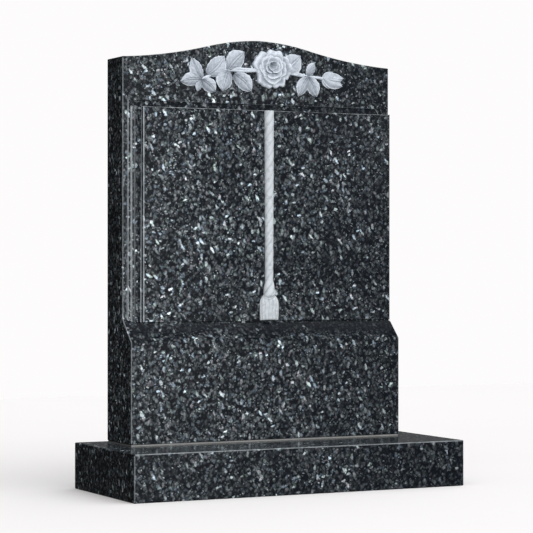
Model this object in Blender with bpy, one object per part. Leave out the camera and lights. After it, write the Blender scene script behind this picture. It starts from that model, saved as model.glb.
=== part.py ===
# Upright book headstone on a base, in polished granite.
# The headstone is one carved block: a tablet with an ogee top, an open book on its front, a
# shoulder and a thicker foot. A spray of roses is carved on the header, and a cord with a
# tassel hangs down the middle of the page. It stands on the base on a thin bed of mortar.
# X runs to the right, the front faces -Y, Z is up. The origin is the middle of the base's underside.
# All sizes are in metres.

import math

import bmesh
import bpy
from mathutils import Matrix, Vector

# Base block and mortar bed
base_width = 0.762
base_depth = 0.318
base_height = 0.097
bed_thickness = 0.003
bed_inset = 0.0015
clearance = 0.0003

# Headstone body, heights measured from its own foot
stone_width = 0.635
stone_setback = 0.025
foot_thickness = 0.128
foot_height = 0.2105
shoulder_height = 0.046
shoulder_hollow = 0.018
tablet_thickness = 0.082
tablet_height = 0.8025

# Ogee top: rise in the middle, where the curve turns, and how steep it is at the peak and the ends
crown_rise = 0.046
crown_turn = 0.120
crown_peak_degrees = 1.2
crown_end_degrees = 3.1
crown_steps = 12

# Open book on the tablet's front
page_height = 0.443
page_relief = 0.007
band_height = 0.013
band_depth = 0.003
band_end = 0.035
band_mitre = 0.010
margin_width = 0.011
cover_width = 0.0075
cover_relief = 0.003
leaf_step_width = 0.0065
leaf_step_relief = 0.002
leaf_steps = 2
channel_width = 0.0125
foot_groove = 0.004
foot_groove_rise = 0.0006

# Cord and tassel on the page, set out a little to the left of its middle
cord_shift = -0.003
cord_top_radius = 0.0113
cord_bottom_radius = 0.0097
cord_lay = 0.070
cord_strands = 3
cord_strand_share = 0.11
cord_flatness = 0.80
tassel_head_length = 0.040
tassel_head_radius = 0.0148
tassel_tie_radius = 0.0135
tassel_tie_rise = 0.0095
tassel_skirt_length = 0.045
tassel_skirt_radius = 0.0231
tassel_flatness = 0.42
tassel_threads = 7
tassel_thread_share = 0.07
tassel_gap = 0.0015

# Rose spray: its parts are placed as shares of its own length, from its middle
spray_length = 0.387
spray_offset = 0.0065
spray_rise = 0.0665
leaf_crown = 0.0065
stem_radius = 0.0034
rose_radius = 0.046
rose_height = 0.014
bud_length = 0.0510
bud_crown = 0.0092

left_joint = (-0.373, -0.047)
middle_joint = (-0.216, 0.010)
rose_place = (0.063, 0.022)
right_joint = (0.280, -0.008)
bud_place = (0.372, -0.014)

# Leaf joint, direction in degrees from +X, length and width as shares of the spray
leaves = (
    (left_joint, 117, 0.130, 0.080),
    (left_joint, 187, 0.128, 0.074),
    (left_joint, -39, 0.106, 0.076),
    (left_joint, -111, 0.072, 0.042),
    ((-0.336, -0.020), 47, 0.146, 0.100),
    (middle_joint, 45, 0.146, 0.106),
    (middle_joint, -106, 0.122, 0.102),
    ((-0.175, -0.010), -42, 0.140, 0.088),
    ((0.125, 0.018), 40, 0.140, 0.112),
    (right_joint, 62, 0.094, 0.056),
    (right_joint, -118, 0.126, 0.074),
    (right_joint, -64, 0.124, 0.076),
)

# Stem routes between the joints, as shares of the spray
stems = (
    (left_joint, (-0.300, -0.014), middle_joint, (-0.130, 0.008), rose_place),
    (rose_place, (0.170, 0.018), right_joint, (0.335, -0.010), bud_place),
)

# Petal rings of the rose: petals, radius, height of the rim, first petal's direction
rose_rings = (
    (5, 1.00, 0.50, 20),
    (5, 0.74, 0.72, 58),
    (4, 0.52, 0.90, 10),
    (3, 0.31, 1.00, 75),
)

# Plane in which an outline is drawn, for the front, the side and the plan
front_plane = Matrix(((1, 0, 0), (0, 0, -1), (0, 1, 0))).to_4x4()
side_plane = Matrix(((0, 0, 1), (1, 0, 0), (0, 1, 0))).to_4x4()
plan_plane = Matrix.Identity(4)

# Places that several pieces share
stone_foot = base_height + bed_thickness + 2 * clearance
back_y = base_depth / 2 - stone_setback
tablet_y = back_y - tablet_thickness
foot_y = back_y - foot_thickness
page_y = tablet_y - page_relief
half_width = stone_width / 2
shoulder_top = stone_foot + foot_height + shoulder_height
page_top = shoulder_top + page_height
header_edge = page_top + band_height
page_left = -half_width + margin_width + cover_width + leaf_steps * leaf_step_width + channel_width
cord_x = (page_left + half_width) / 2 + cord_shift
shoulder_slope = (foot_thickness - tablet_thickness) / shoulder_height
page_foot = shoulder_top - page_relief / shoulder_slope
overlap = 0.010


def clear_scene():
    for thing in list(bpy.data.objects):
        bpy.data.objects.remove(thing, do_unlink=True)


def new_collection(name):
    collection = bpy.data.collections.new(name)
    bpy.context.scene.collection.children.link(collection)
    return collection


def new_material(name, color, roughness):
    material = bpy.data.materials.new(name)
    material.use_nodes = True
    shader = material.node_tree.nodes["Principled BSDF"]
    shader.inputs["Base Color"].default_value = (*color, 1)
    shader.inputs["Roughness"].default_value = roughness
    shader.inputs["Metallic"].default_value = 0
    material.diffuse_color = (*color, 1)
    return material


def new_object(name, mesh, collection, matrix=plan_plane):
    thing = bpy.data.objects.new(name, mesh)
    collection.objects.link(thing)
    thing.matrix_world = matrix
    return thing


def as_tool(thing):
    # A cutter or a raised piece shows as wires only and is never rendered
    thing.hide_render = True
    thing.display_type = "WIRE"
    return thing


def mesh_from_curve(curve_object, collection):
    graph = bpy.context.evaluated_depsgraph_get()
    mesh = bpy.data.meshes.new_from_object(curve_object.evaluated_get(graph))
    shape = bmesh.new()
    shape.from_mesh(mesh)
    bmesh.ops.remove_doubles(shape, verts=shape.verts, dist=0.00002)
    bmesh.ops.recalc_face_normals(shape, faces=shape.faces)
    shape.to_mesh(mesh)
    shape.free()
    name = curve_object.name
    matrix = curve_object.matrix_world.copy()
    bpy.data.objects.remove(curve_object, do_unlink=True)
    return new_object(name, mesh, collection, matrix)


def prism(name, outline, low, high, plane, collection):
    # An outline drawn in one plane, extruded from low to high along that plane's normal
    curve = bpy.data.curves.new(name, "CURVE")
    curve.dimensions = "2D"
    curve.fill_mode = "BOTH"
    curve.extrude = (high - low) / 2
    spline = curve.splines.new("POLY")
    spline.points.add(len(outline) - 1)
    for point, (across, up) in zip(spline.points, outline):
        point.co = (across, up, 0, 1)
    spline.use_cyclic_u = True
    matrix = plane @ Matrix.Translation((0, 0, (high + low) / 2))
    thing = new_object(name, curve, collection, matrix)
    bpy.context.view_layer.update()
    return as_tool(mesh_from_curve(thing, collection))


def rectangle(left, right, low, high):
    return ((left, low), (right, low), (right, high), (left, high))


def add_boolean(thing, name, operation, tools):
    modifier = thing.modifiers.new(name, "BOOLEAN")
    modifier.solver = "EXACT"
    modifier.operation = operation
    modifier.use_self = True
    modifier.operand_type = "COLLECTION"
    modifier.collection = tools


def crown(x):
    # Height of the ogee above the tablet's ends: a swelling curve that turns hollow at crown_turn
    away = abs(x)
    run = half_width - crown_turn
    peak_slope = math.tan(math.radians(crown_peak_degrees))
    end_slope = math.tan(math.radians(crown_end_degrees))
    turn_slope = 2 * (crown_rise - peak_slope * crown_turn / 2 - end_slope * run / 2) / half_width
    if away < crown_turn:
        return crown_rise - peak_slope * away - (turn_slope - peak_slope) * away ** 2 / (2 * crown_turn)
    rest = half_width - away
    return end_slope * rest + (turn_slope - end_slope) * rest ** 2 / (2 * run)


def side_outline():
    # Back, foot, front of the foot, sloping shoulder, a small hollow, then up the tablet
    angle = math.atan(shoulder_slope)
    reach = shoulder_hollow * math.tan(angle / 2)
    low = shoulder_top - reach * math.cos(angle)
    points = [(back_y, stone_foot), (foot_y, stone_foot), (foot_y, stone_foot + foot_height)]
    steps = 4
    for step in range(steps + 1):
        turn = angle * (1 - step / steps)
        out = shoulder_hollow * (1 - math.cos(turn))
        up = low + shoulder_hollow * (math.sin(angle) - math.sin(turn))
        points.append((tablet_y - out, up))
    top = stone_foot + tablet_height + crown_rise + overlap
    points += [(tablet_y, top), (back_y, top)]
    return points


def front_outline():
    low = stone_foot - overlap
    points = [(-half_width, low), (half_width, low)]
    for step in range(2 * crown_steps + 1):
        x = half_width * (1 - step / crown_steps)
        points.append((x, stone_foot + tablet_height + crown(x)))
    return points


def add_book(raised, sunk):
    low = page_foot - page_relief
    # Page, then the cover's edge and the page edges, each step standing prouder than the last
    inner = -tablet_y - overlap
    prism("page", rectangle(page_left, half_width + overlap, low, page_top), inner, -page_y,
          front_plane, raised)
    left = -half_width + margin_width
    cover = rectangle(left, page_left - channel_width, low, header_edge)
    prism("cover_edge", cover, inner, -tablet_y + cover_relief, front_plane, raised)
    left += cover_width
    for step in range(leaf_steps):
        relief = cover_relief + (step + 1) * leaf_step_relief
        edge = rectangle(left, page_left - channel_width, low, page_top)
        prism("page_edge_%d" % (step + 1), edge, inner, -tablet_y + relief, front_plane, raised)
        left += leaf_step_width
    # Sunk channel beside the page, running into the band under the header
    floor = -tablet_y - band_depth
    cut = -tablet_y + page_relief + overlap
    band_left = page_left - channel_width - leaf_steps * leaf_step_width
    channel = (
        (band_left, header_edge), (band_left, page_top), (page_left - channel_width, page_top),
        (page_left - channel_width, page_foot), (page_left, page_foot), (page_left, page_top),
        (half_width - band_end + band_mitre, page_top), (half_width - band_end, header_edge),
    )
    prism("channel", channel, floor, cut, front_plane, sunk)


def add_foot_groove(sunk):
    # Thin sunk line where the book meets the shoulder, cut level into the top of the slope
    top = page_foot + foot_groove_rise
    line = rectangle(page_y - overlap, page_y + foot_groove, top - foot_groove, top)
    left = -half_width + margin_width
    prism("foot_groove", line, left, half_width + overlap, side_plane, sunk)


def ringed_body(name, rings, section, matrix, collection):
    # A closed body drawn as rings down its length: rings holds (distance, width, depth, turn)
    shape = bmesh.new()
    sides = len(section)
    first = bmesh.ops.create_circle(shape, cap_ends=True, radius=1, segments=sides)["verts"]
    edges = list(shape.edges)
    loops = [list(first)]
    for _ in rings[1:]:
        extruded = bmesh.ops.extrude_edge_only(shape, edges=edges)["geom"]
        verts = [part for part in extruded if isinstance(part, bmesh.types.BMVert)]
        links = [part for part in extruded if isinstance(part, bmesh.types.BMEdge)]
        edges = [edge for edge in links if all(vert in verts for vert in edge.verts)]
        loops.append(verts)
    bmesh.ops.contextual_create(shape, geom=edges)
    for loop, (distance, width, depth, turn) in zip(loops, rings):
        for number, vert in enumerate(loop):
            radius = section[number]
            angle = 2 * math.pi * number / sides + turn
            vert.co = (width * radius * math.cos(angle), -distance, depth * radius * math.sin(angle))
    bmesh.ops.recalc_face_normals(shape, faces=shape.faces)
    mesh = bpy.data.meshes.new(name)
    shape.to_mesh(mesh)
    shape.free()
    return as_tool(new_object(name, mesh, collection, matrix))


def lobed(sides, lobes, depth):
    return [1 - depth * (0.5 - 0.5 * math.cos(2 * math.pi * lobes * n / sides)) for n in range(sides)]


def page_matrix(x, z):
    # Local X across the page, local Y up it, local Z out of it
    return Matrix.Translation((x, page_y, z)) @ front_plane


def add_cord(relief):
    tassel_length = tassel_head_length + tassel_skirt_length
    length = page_top - page_foot - foot_groove_rise - tassel_gap - tassel_length
    rings_per_turn = 14
    count = max(8, round(rings_per_turn * length / cord_lay))
    rings = []
    for step in range(count + 1):
        share = step / count
        radius = cord_top_radius + (cord_bottom_radius - cord_top_radius) * share
        turn = -2 * math.pi * length * share / cord_lay
        rings.append((length * share, radius, radius * cord_flatness, turn))
    section = lobed(4 * cord_strands, cord_strands, cord_strand_share)
    ringed_body("cord", rings, section, page_matrix(cord_x, page_top), relief)
    return length, rings[-1][3]


def add_tassel(relief, cord_length, cord_turn):
    # Head: the cord's strands spread, wind on and round off at the tie
    matrix = page_matrix(cord_x, page_top - cord_length)
    steps = 8
    rings = []
    for step in range(steps + 1):
        share = step / steps
        swell = math.sin(share * math.pi / 2)
        close = math.sqrt(1 - 0.6 * max(0, share * steps - steps + 1))
        radius = (cord_bottom_radius + (tassel_head_radius - cord_bottom_radius) * swell) * close
        turn = cord_turn - 2 * math.pi * tassel_head_length * share / cord_lay
        distance = tassel_head_length * share
        if step == 0:
            # The first ring is hidden inside the cord's end
            radius *= 0.7
            distance -= overlap
        rings.append((distance, radius, radius * cord_flatness, turn))
    section = lobed(4 * cord_strands, cord_strands, cord_strand_share)
    ringed_body("tassel_head", rings, section, matrix, relief)
    # Skirt: starts behind the head, round shoulders, then nearly straight to a flat foot
    rings = []
    length = tassel_skirt_length + tassel_tie_rise
    for share in (0, 0.07, 0.15, 0.24, 0.36, 0.60, 1):
        spread = 1 - math.exp(-(share * length / (0.9 * tassel_tie_rise)) ** 1.5)
        radius = tassel_tie_radius + (tassel_skirt_radius - tassel_tie_radius) * spread
        radius *= 1 - 0.04 * share ** 4
        distance = tassel_head_length - tassel_tie_rise + length * share
        rings.append((distance, radius, radius * tassel_flatness, 0))
    section = lobed(8 * tassel_threads, 2 * tassel_threads, tassel_thread_share)
    ringed_body("tassel_skirt", rings, section, matrix, relief)


def spray_matrix(place, degrees=0):
    # Local X along the part's direction on the tablet, local Z out of it
    x = spray_offset + place[0] * spray_length
    z = header_edge + spray_rise + place[1] * spray_length
    spot = Matrix.Translation((x, tablet_y, z)) @ front_plane
    return spot @ Matrix.Rotation(math.radians(degrees), 4, "Z")


def sheet_body(name, columns, rows, place_point, matrix, collection):
    # A grid bent into a curved surface by place_point and closed down into the stone behind it
    shape = bmesh.new()
    bmesh.ops.create_grid(shape, x_segments=columns, y_segments=rows, size=0.5)
    for vert in shape.verts:
        vert.co = place_point(vert.co.x + 0.5, vert.co.y * 2)
    bmesh.ops.remove_doubles(shape, verts=shape.verts, dist=0.00005)
    walls = bmesh.ops.extrude_face_region(shape, geom=shape.faces[:])["geom"]
    sunk = [part for part in walls if isinstance(part, bmesh.types.BMVert)]
    for vert in sunk:
        vert.co.z = -overlap / 2
    bmesh.ops.recalc_face_normals(shape, faces=shape.faces)
    mesh = bpy.data.meshes.new(name)
    shape.to_mesh(mesh)
    shape.free()
    return as_tool(new_object(name, mesh, collection, matrix))


def add_leaf(number, joint, degrees, length_share, width_share, relief):
    length = length_share * spray_length
    half = width_share * spray_length / 2
    crown_height = leaf_crown * (0.9 + 0.1 * (number % 3))

    def place_point(along, across):
        # Egg-shaped outline, a creased midrib and a rim that dips towards the tip
        outline = math.sin(math.pi * min(max(along, 0.012), 0.985) ** 0.78) ** 0.85
        x = length * along
        y = half * outline * across
        arch = 1 - 0.42 * abs(abs(across) - 0.45)
        crease = 0.30 * max(0, 1 - 3.2 * abs(across))
        z = crown_height * (arch - crease) * (0.75 + 0.25 * math.sin(math.pi * along))
        return Vector((x, y, max(z, crown_height * 0.3)))

    sheet_body("leaf_%02d" % number, 8, 8, place_point, spray_matrix(joint, degrees), relief)


def add_stem(number, route, relief):
    curve = bpy.data.curves.new("stem_%d" % number, "CURVE")
    curve.dimensions = "3D"
    curve.bevel_depth = stem_radius
    curve.bevel_resolution = 1
    curve.resolution_u = 3
    curve.use_fill_caps = True
    spline = curve.splines.new("BEZIER")
    spline.bezier_points.add(len(route) - 1)
    for point, place in zip(spline.bezier_points, route):
        point.co = (place[0] * spray_length, place[1] * spray_length, stem_radius * 0.35)
        point.handle_left_type = "AUTO"
        point.handle_right_type = "AUTO"
    thing = new_object("stem_%d" % number, curve, relief, spray_matrix((0, 0)))
    bpy.context.view_layer.update()
    as_tool(mesh_from_curve(thing, relief))


def add_rose(relief):
    for ring_number, (petals, radius_share, height_share, first) in enumerate(rose_rings):
        radius = rose_radius * radius_share
        rim = rose_height * height_share
        spread = math.pi / petals * 1.18
        for petal in range(petals):
            tilt = 1 + 0.05 * ((petal * 2 + ring_number) % 3 - 1)

            def place_point(along, across, radius=radius, rim=rim, spread=spread, tilt=tilt):
                # Cupped petal: low in the middle, a raised rim, a rounded outer edge
                reach = 0.12 + 0.88 * along
                edge = radius * tilt * (1 - 0.16 * abs(across) ** 2.4)
                angle = spread * across
                cup = 0.52 + 0.48 * math.sin(math.pi * min(1, 0.12 + 0.76 * along))
                z = rim * tilt * cup * (1 - 0.14 * across ** 2)
                if along > 0.95:
                    z = rim * 0.62
                return Vector((edge * reach * math.cos(angle), edge * reach * math.sin(angle), z))

            degrees = first + 360 * petal / petals
            name = "petal_%d_%d" % (ring_number + 1, petal + 1)
            sheet_body(name, 5, 5, place_point, spray_matrix(rose_place, degrees), relief)


def add_bud(relief):
    # Half-open bud: two overlapping petals between sepals, leaning right and a little down
    parts = (
        # direction, then shares: length, half width, height, start
        ("sepal_1", 30, 0.60, 0.15, 0.65, 0.00),
        ("sepal_2", -48, 0.58, 0.16, 0.65, 0.00),
        ("bud_petal_1", 2, 0.98, 0.25, 0.85, 0.04),
        ("bud_petal_2", -18, 0.94, 0.28, 1.00, 0.06),
    )
    for name, degrees, long, half, high, start in parts:

        def place_point(along, across, long=long, half=half, high=high, start=start):
            outline = math.sin(math.pi * min(max(along, 0.02), 0.97) ** 0.85)
            x = bud_length * (start + long * along)
            y = bud_length * half * outline * across
            z = bud_crown * high * (1 - 0.45 * across ** 2) * (0.7 + 0.3 * math.sin(math.pi * along))
            return Vector((x, y, z))

        sheet_body(name, 6, 6, place_point, spray_matrix(bud_place, degrees), relief)


def make_headstone(parts, granite):
    raised = new_collection("raised_book")
    sunk = new_collection("sunk_book")
    outline = new_collection("front_outline")
    relief = new_collection("carving")

    side = prism("headstone", side_outline(), -half_width - overlap / 2, half_width + overlap / 2,
                 side_plane, parts)
    side.hide_render = False
    side.display_type = "TEXTURED"
    side.data.materials.append(granite)
    add_book(raised, sunk)
    add_foot_groove(sunk)
    prism("outline", front_outline(), -back_y - overlap, -foot_y + overlap, front_plane, outline)
    cord_length, cord_turn = add_cord(relief)
    add_tassel(relief, cord_length, cord_turn)
    for number, leaf in enumerate(leaves, 1):
        add_leaf(number, *leaf, relief)
    for number, route in enumerate(stems, 1):
        add_stem(number, route, relief)
    add_rose(relief)
    add_bud(relief)

    add_boolean(side, "book", "UNION", raised)
    add_boolean(side, "channels", "DIFFERENCE", sunk)
    add_boolean(side, "outline", "INTERSECT", outline)
    add_boolean(side, "carving", "UNION", relief)
    return side


def make_box(name, width, depth, low, high, middle_y, parts, material):
    shape = bmesh.new()
    bmesh.ops.create_cube(shape, size=1)
    bmesh.ops.scale(shape, vec=(width, depth, high - low), verts=shape.verts)
    bmesh.ops.translate(shape, vec=(0, middle_y, (high + low) / 2), verts=shape.verts)
    mesh = bpy.data.meshes.new(name)
    shape.to_mesh(mesh)
    shape.free()
    mesh.materials.append(material)
    return new_object(name, mesh, parts)


def main():
    clear_scene()
    parts = new_collection("book_headstone")
    granite = new_material("polished_granite", (0.045, 0.052, 0.058), 0.12)
    mortar = new_material("mortar", (0.42, 0.40, 0.36), 0.85)
    make_headstone(parts, granite)
    make_box("base", base_width, base_depth, 0, base_height, 0, parts, granite)
    make_box("mortar_bed", stone_width - 2 * bed_inset, foot_thickness - 2 * bed_inset,
             base_height + clearance, stone_foot - clearance, (back_y + foot_y) / 2, parts, mortar)


main()
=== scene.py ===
# Upright book headstone in polished pearl granite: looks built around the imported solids
import math

import bmesh
import bpy
from mathutils import Matrix, Vector


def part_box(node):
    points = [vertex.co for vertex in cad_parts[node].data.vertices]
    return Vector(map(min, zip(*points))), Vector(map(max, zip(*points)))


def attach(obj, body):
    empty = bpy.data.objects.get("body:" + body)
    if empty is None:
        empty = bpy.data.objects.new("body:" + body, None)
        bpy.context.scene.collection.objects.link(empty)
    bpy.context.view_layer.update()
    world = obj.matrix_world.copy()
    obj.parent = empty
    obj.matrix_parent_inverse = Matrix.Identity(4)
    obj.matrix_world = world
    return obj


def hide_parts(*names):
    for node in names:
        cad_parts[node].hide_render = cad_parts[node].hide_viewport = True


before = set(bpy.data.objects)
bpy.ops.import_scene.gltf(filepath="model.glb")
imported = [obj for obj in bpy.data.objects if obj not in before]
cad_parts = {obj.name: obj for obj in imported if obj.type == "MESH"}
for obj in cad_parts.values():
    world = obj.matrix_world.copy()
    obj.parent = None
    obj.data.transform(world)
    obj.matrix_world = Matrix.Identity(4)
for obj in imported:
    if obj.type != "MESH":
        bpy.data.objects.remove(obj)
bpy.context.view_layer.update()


# Small helpers for modelling with operators

touching = 0.001             # corners closer than this stand in the same plane


def deselectAll():
    if bpy.context.object and bpy.context.object.mode != "OBJECT":
        bpy.ops.object.mode_set(mode="OBJECT")
    bpy.ops.object.select_all(action="DESELECT")


def makeActive(piece):
    deselectAll()
    piece.select_set(True)
    bpy.context.view_layer.objects.active = piece


def bakePlace(piece):
    makeActive(piece)
    bpy.ops.object.transform_apply(location=True, rotation=True, scale=True)
    return piece


def addBox(name, low, high):
    deselectAll()
    middle = [(a + b) / 2 for a, b in zip(low, high)]
    size = [b - a for a, b in zip(low, high)]
    bpy.ops.mesh.primitive_cube_add(size=1, location=middle, scale=size)
    bpy.context.object.name = name
    return bakePlace(bpy.context.object)


def editMesh(piece):
    makeActive(piece)
    bpy.ops.object.mode_set(mode="EDIT")
    return bmesh.from_edit_mesh(piece.data)


def leaveEdit():
    bpy.ops.object.mode_set(mode="OBJECT")


def pickFaces(piece, test):
    shape = bmesh.from_edit_mesh(piece.data)
    bpy.ops.mesh.select_all(action="DESELECT")
    bpy.ops.mesh.select_mode(type="FACE")
    for face in shape.faces:
        face.select_set(test(face.calc_center_median(), face.normal))
    bmesh.update_edit_mesh(piece.data)


def pickEdges(piece, test):
    shape = bmesh.from_edit_mesh(piece.data)
    bpy.ops.mesh.select_all(action="DESELECT")
    bpy.ops.mesh.select_mode(type="EDGE")
    for edge in shape.edges:
        edge.select_set(test(edge))
    bmesh.update_edit_mesh(piece.data)


def applyModifier(piece, kind, name, **settings):
    makeActive(piece)
    modifier = piece.modifiers.new(name, kind)
    for key, value in settings.items():
        setattr(modifier, key, value)
    bpy.ops.object.modifier_apply(modifier=name)


def setPaintedLight(piece, values):
    # Per-vertex painted light on the carving: 0 for painted shade in a hollow, 1 for a painted
    # highlight on a ridge
    attributes = piece.data.attributes
    paintedLight = attributes.get("paintedLight") or attributes.new("paintedLight", "FLOAT", "POINT")
    paintedLight.data.foreach_set("value", values)


def joinPieces(name, pieces):
    deselectAll()
    for piece in pieces:
        piece.select_set(True)
    bpy.context.view_layer.objects.active = pieces[0]
    bpy.ops.object.join()
    joined = bpy.context.object
    joined.name = name
    return joined


def combine(piece, tool, operation):
    applyModifier(piece, "BOOLEAN", operation.lower(), object=tool, operation=operation,
                  solver="EXACT")
    bpy.data.objects.remove(tool, do_unlink=True)


def smooth(piece, degrees):
    makeActive(piece)
    bpy.ops.object.shade_smooth_by_angle(angle=math.radians(degrees))


def evenShading(piece):
    # Large flat faces keep their own direction, so that the polish mirrors evenly up to its arrises
    applyModifier(piece, "WEIGHTED_NORMAL", "evenShading", keep_sharp=True, weight=100)


def bell(value, middle, width):
    return math.exp(-((value - middle) / width) ** 2)


def isSharp(edge, degrees):
    return len(edge.link_faces) == 2 and edge.calc_face_angle(0) > math.radians(degrees)


def middleOf(edge):
    return (edge.verts[0].co + edge.verts[1].co) / 2


def rises(edge, share):
    # Whether an edge climbs by more than this share of its own length
    along = edge.verts[1].co - edge.verts[0].co
    return abs(along.z) > share * along.length


def isUpright(edge):
    return rises(edge, 0.9)


# Shader maths

class Value:
    # A node socket that can be added, multiplied and compared like a number
    def __init__(self, tree, socket):
        self.tree = tree
        self.socket = socket

    def maths(self, operation, other=None, first=False):
        node = self.tree.nodes.new("ShaderNodeMath")
        node.operation = operation
        mine, theirs = (1, 0) if first else (0, 1)
        self.tree.links.new(self.socket, node.inputs[mine])
        if isinstance(other, Value):
            self.tree.links.new(other.socket, node.inputs[theirs])
        elif other is not None:
            node.inputs[theirs].default_value = other
        return Value(self.tree, node.outputs[0])

    def __add__(self, other):
        return self.maths("ADD", other)

    __radd__ = __add__

    def __sub__(self, other):
        return self.maths("SUBTRACT", other)

    def __rsub__(self, other):
        return self.maths("SUBTRACT", other, first=True)

    def __mul__(self, other):
        return self.maths("MULTIPLY", other)

    __rmul__ = __mul__

    def __pow__(self, other):
        return self.maths("POWER", other)

    def __rpow__(self, other):
        return self.maths("POWER", other, first=True)

    def above(self, other):
        return self.maths("GREATER_THAN", other)

    def highest(self, other):
        return self.maths("MAXIMUM", other)

    def lowest(self, other):
        return self.maths("MINIMUM", other)


class Nodes:
    # A node tree, of a material or of the world
    def __init__(self, tree):
        self.tree = tree

    def node(self, kind, settings=None, inputs=None):
        made = self.tree.nodes.new(kind)
        for key, value in (settings or {}).items():
            setattr(made, key, value)
        for key, value in (inputs or {}).items():
            self.feed(made.inputs[key], value)
        return made

    def feed(self, socket, value):
        if isinstance(value, Value):
            self.tree.links.new(value.socket, socket)
        elif isinstance(value, bpy.types.NodeSocket):
            self.tree.links.new(value, socket)
        else:
            socket.default_value = value

    def number(self, socket):
        return Value(self.tree, socket)


class Surface(Nodes):
    # One material and the patterns that its finish is made of
    def __init__(self, name):
        self.material = bpy.data.materials.new(name)
        self.material.use_nodes = True
        super().__init__(self.material.node_tree)
        self.shader = self.tree.nodes["Principled BSDF"]
        self.place = self.node("ShaderNodeTexCoord").outputs["Object"]

    def drawnOut(self, size, turn, place):
        # Turns first and scales after, so that a pattern can be long in any direction
        made = self.node("ShaderNodeMapping", {"vector_type": "TEXTURE"}, {
            "Vector": place, "Rotation": [math.radians(angle) for angle in turn], "Scale": size})
        return made.outputs[0]

    def noiseNode(self, scale, detail, roughness, place=None):
        return self.node("ShaderNodeTexNoise", None, {
            "Vector": place or self.place, "Scale": scale, "Detail": detail,
            "Roughness": roughness})

    def noise(self, scale, detail, roughness, place=None):
        return self.number(self.noiseNode(scale, detail, roughness, place).outputs["Fac"])

    def cells(self, scale, place=None):
        return self.node("ShaderNodeTexVoronoi", None, {
            "Vector": place or self.place, "Scale": scale})

    def warped(self, scale, amount, place=None):
        # Place pushed about by a noise, so that grains get ragged outlines
        noise = self.noiseNode(scale, 2, 0.55, place)
        push = self.node("ShaderNodeVectorMath", {"operation": "SUBTRACT"}, {
            0: noise.outputs["Color"], 1: (0.5, 0.5, 0.5)})
        push = self.node("ShaderNodeVectorMath", {"operation": "SCALE"}, {
            0: push.outputs[0], "Scale": amount})
        moved = self.node("ShaderNodeVectorMath", {"operation": "ADD"}, {
            0: place or self.place, 1: push.outputs[0]})
        return moved.outputs[0]

    def ease(self, value, low, high, outLow=0.0, outHigh=1.0):
        made = self.node("ShaderNodeMapRange", {"interpolation_type": "SMOOTHSTEP"}, {
            "Value": value, "From Min": low, "From Max": high,
            "To Min": outLow, "To Max": outHigh})
        return self.number(made.outputs[0])

    def split(self, color):
        made = self.node("ShaderNodeSeparateColor", None, {"Color": color})
        return [self.number(socket) for socket in made.outputs]

    def blend(self, amount, first, second):
        made = self.node("ShaderNodeMix", {"data_type": "RGBA"}, {0: amount})
        for socket, color in ((made.inputs[6], first), (made.inputs[7], second)):
            self.feed(socket, (*color, 1) if isinstance(color, tuple) else color)
        return made.outputs[2]

    def bump(self, height, strength, distance):
        return self.node("ShaderNodeBump", None, {
            "Height": height, "Strength": strength, "Distance": distance}).outputs[0]

    def finish(self, **sockets):
        names = {"color": "Base Color", "roughness": "Roughness", "normal": "Normal",
                 "specular": "Specular IOR Level"}
        for key, value in sockets.items():
            self.feed(self.shader.inputs[names[key]], value)
        return self.material


# Materials

graniteLook = {
    "ground": (0.0026, 0.0037, 0.0057),      # between the crystals, nearly black
    "grey": (0.86, 0.98, 1.04),              # tints of the crystals, times their brightness
    "blue": (0.74, 0.93, 1.12),
    "green": (0.81, 1.00, 0.95),
    "violet": (0.96, 0.95, 1.05),
    "polish": 0.12,
    "specular": 0.10,
    "depth": 1.0,                            # brightness of the whole stone
    # painted shade: the polish darkens from left to right across the stone, standing for light that
    # falls off
    "paintedFalloff": (-0.20, 0.33, 0.49),            # it gets darker from here to here, down to this share
    "coarseEdge": (75, 0.0100),              # ragged outlines: noise scale and reach
    "fineEdge": (300, 0.0036),
    "clouding": 0.35,                        # how much more crystal there is in some patches
    "streak": 0.45,                          # how unlike two crystals of a set are
    "plates": (0.45, 1.20),                  # darkest and brightest of the plates in a crystal
    "flecks": (0.60, 1.35),
}

# Each set of crystals: cells per metre, how long, turn, lowest chance, curve, brightness, rim
crystalSets = (
    (185, (1.00, 1.00, 1.35), (10, 25, 0), 0.00, 2.1, 0.165, (0.72, 0.26)),
    (128, (1.00, 1.00, 1.50), (30, -40, 20), 0.30, 2.0, 0.20, (0.66, 0.22)),
    (88, (0.80, 0.80, 1.80), (-15, 12, 50), 0.72, 1.6, 0.57, (0.48, 0.20)),
    (84, (0.78, 0.78, 2.00), (25, -28, -35), 0.80, 1.5, 0.92, (0.44, 0.20)),
    (100, (0.78, 0.78, 1.90), (-20, 70, 15), 0.83, 1.5, 0.92, (0.44, 0.20)),
    (290, (1.00, 1.00, 1.40), (0, -60, 30), 0.78, 1.7, 0.50, (0.52, 0.24)),
)


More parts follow.
